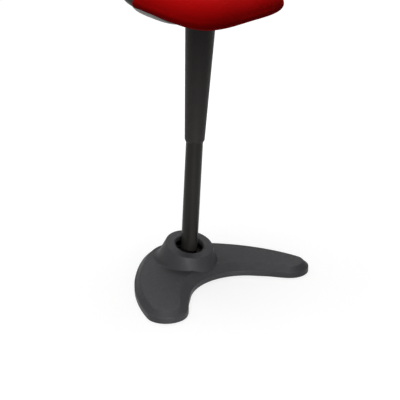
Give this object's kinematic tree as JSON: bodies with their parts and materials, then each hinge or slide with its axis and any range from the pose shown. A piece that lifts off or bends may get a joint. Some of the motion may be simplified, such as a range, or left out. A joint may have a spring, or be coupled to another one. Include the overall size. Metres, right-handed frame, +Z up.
{
  "type": "perch stool",
  "caption": "Height-adjustable perch stool: a padded seat on a leaning gas column that swivels and rocks in a heavy V-shaped base.",
  "frame": {"origin": "on the floor under the centre of the collar's ring, at the middle of the sole's flat underside", "axes": "+Z up, -Y to the front, where the V of the base opens and the column leans, +X to the right as seen from the front, looking along +Y"},
  "size_m": [0.4962, 0.3505, 0.7659],
  "materials": {
    "cover_plastic": "matte",
    "black_rubber": "matte",
    "bare_steel": "satin",
    "cast_iron": "matte",
    "zinc_steel": "satin",
    "black_steel": "satin",
    "bush_nylon": "satin",
    "sleeve_plastic": "satin",
    "pan_plastic": "satin",
    "band_plastic": "matte",
    "board_wood": "matte",
    "red_fabric": "matte"
  },
  "bodies": {
    "base": {"base_cover": "cover_plastic", "floor_mat": "black_rubber", "ballast_plate": "bare_steel", "joint_cup": "cast_iron", "joint_retainer": "cast_iron", "joint_bolt_1": "zinc_steel", "joint_bolt_2": "zinc_steel", "joint_bolt_3": "zinc_steel", "joint_bolt_4": "zinc_steel", "cover_screw_1": "zinc_steel", "cover_screw_2": "zinc_steel", "cover_screw_3": "zinc_steel", "cover_screw_4": "zinc_steel", "cover_screw_5": "zinc_steel", "cover_screw_6": "zinc_steel", "collar_liner": "black_rubber"},
    "rocker": {"joint_rubber": "black_rubber"},
    "column": {"pivot_foot": "bare_steel", "stand_tube": "black_steel", "rod_plug": "bare_steel", "race_lower": "bare_steel", "guide_bush": "bush_nylon"},
    "rod": {"gas_rod": "bare_steel", "race_upper": "bare_steel", "ball_cage": "zinc_steel", "rod_clip": "zinc_steel", "piston": "black_rubber"},
    "seat": {"gas_cylinder": "black_steel", "cylinder_end_cap": "bare_steel", "column_sleeve": "sleeve_plastic", "seat_bracket": "black_steel", "lever_pin": "zinc_steel", "seat_pan": "pan_plastic", "seat_board": "board_wood", "seat_screw_1": "zinc_steel", "seat_screw_2": "zinc_steel", "seat_screw_3": "zinc_steel", "seat_screw_4": "zinc_steel", "seat_cushion": "red_fabric", "rear_band": "band_plastic"},
    "lever": {"release_lever": "black_steel", "lever_grip": "sleeve_plastic"},
    "valve": {"valve_pin": "bare_steel"}
  },
  "joints": [
    {"name": "rock_fore_aft", "type": "hinge", "parent": "base", "child": "rocker", "pos_m": [0, 0.00299, 0.03272], "axis": [1, 0, 0], "range_deg": [-10, 10], "stiffness_Nm_per_rad": 250, "springref_deg": -0.46},
    {"name": "rock_side", "type": "hinge", "parent": "rocker", "child": "column", "pos_m": [0, 0.00299, 0.03272], "axis": [0, 0.9969, 0.0786], "range_deg": [-10, 10], "stiffness_Nm_per_rad": 250},
    {"name": "seat_swivel", "type": "hinge", "parent": "column", "child": "rod", "pos_m": [0, -0.00113, 0.08496], "axis": [0, -0.0786, 0.9969], "continuous": true},
    {"name": "height_slide", "type": "slide", "parent": "rod", "child": "seat", "axis": [0, -0.0786, 0.9969], "range_m": [-0.2, 0]},
    {"name": "lever_pull", "type": "hinge", "parent": "seat", "child": "lever", "pos_m": [0.0136, -0.04363, 0.66601], "axis": [0.2377, -0.9683, -0.0764], "range_deg": [0, 6.1], "stiffness_Nm_per_rad": 3, "springref_deg": -4.58},
    {"name": "valve_press", "type": "slide", "parent": "seat", "child": "valve", "axis": [0, -0.0786, 0.9969], "range_m": [-0.0019, 0]}
  ],
  "couplings": [
    {"joint": "valve_press", "follows": "lever_pull", "m_per_rad": -0.016}
  ]
}
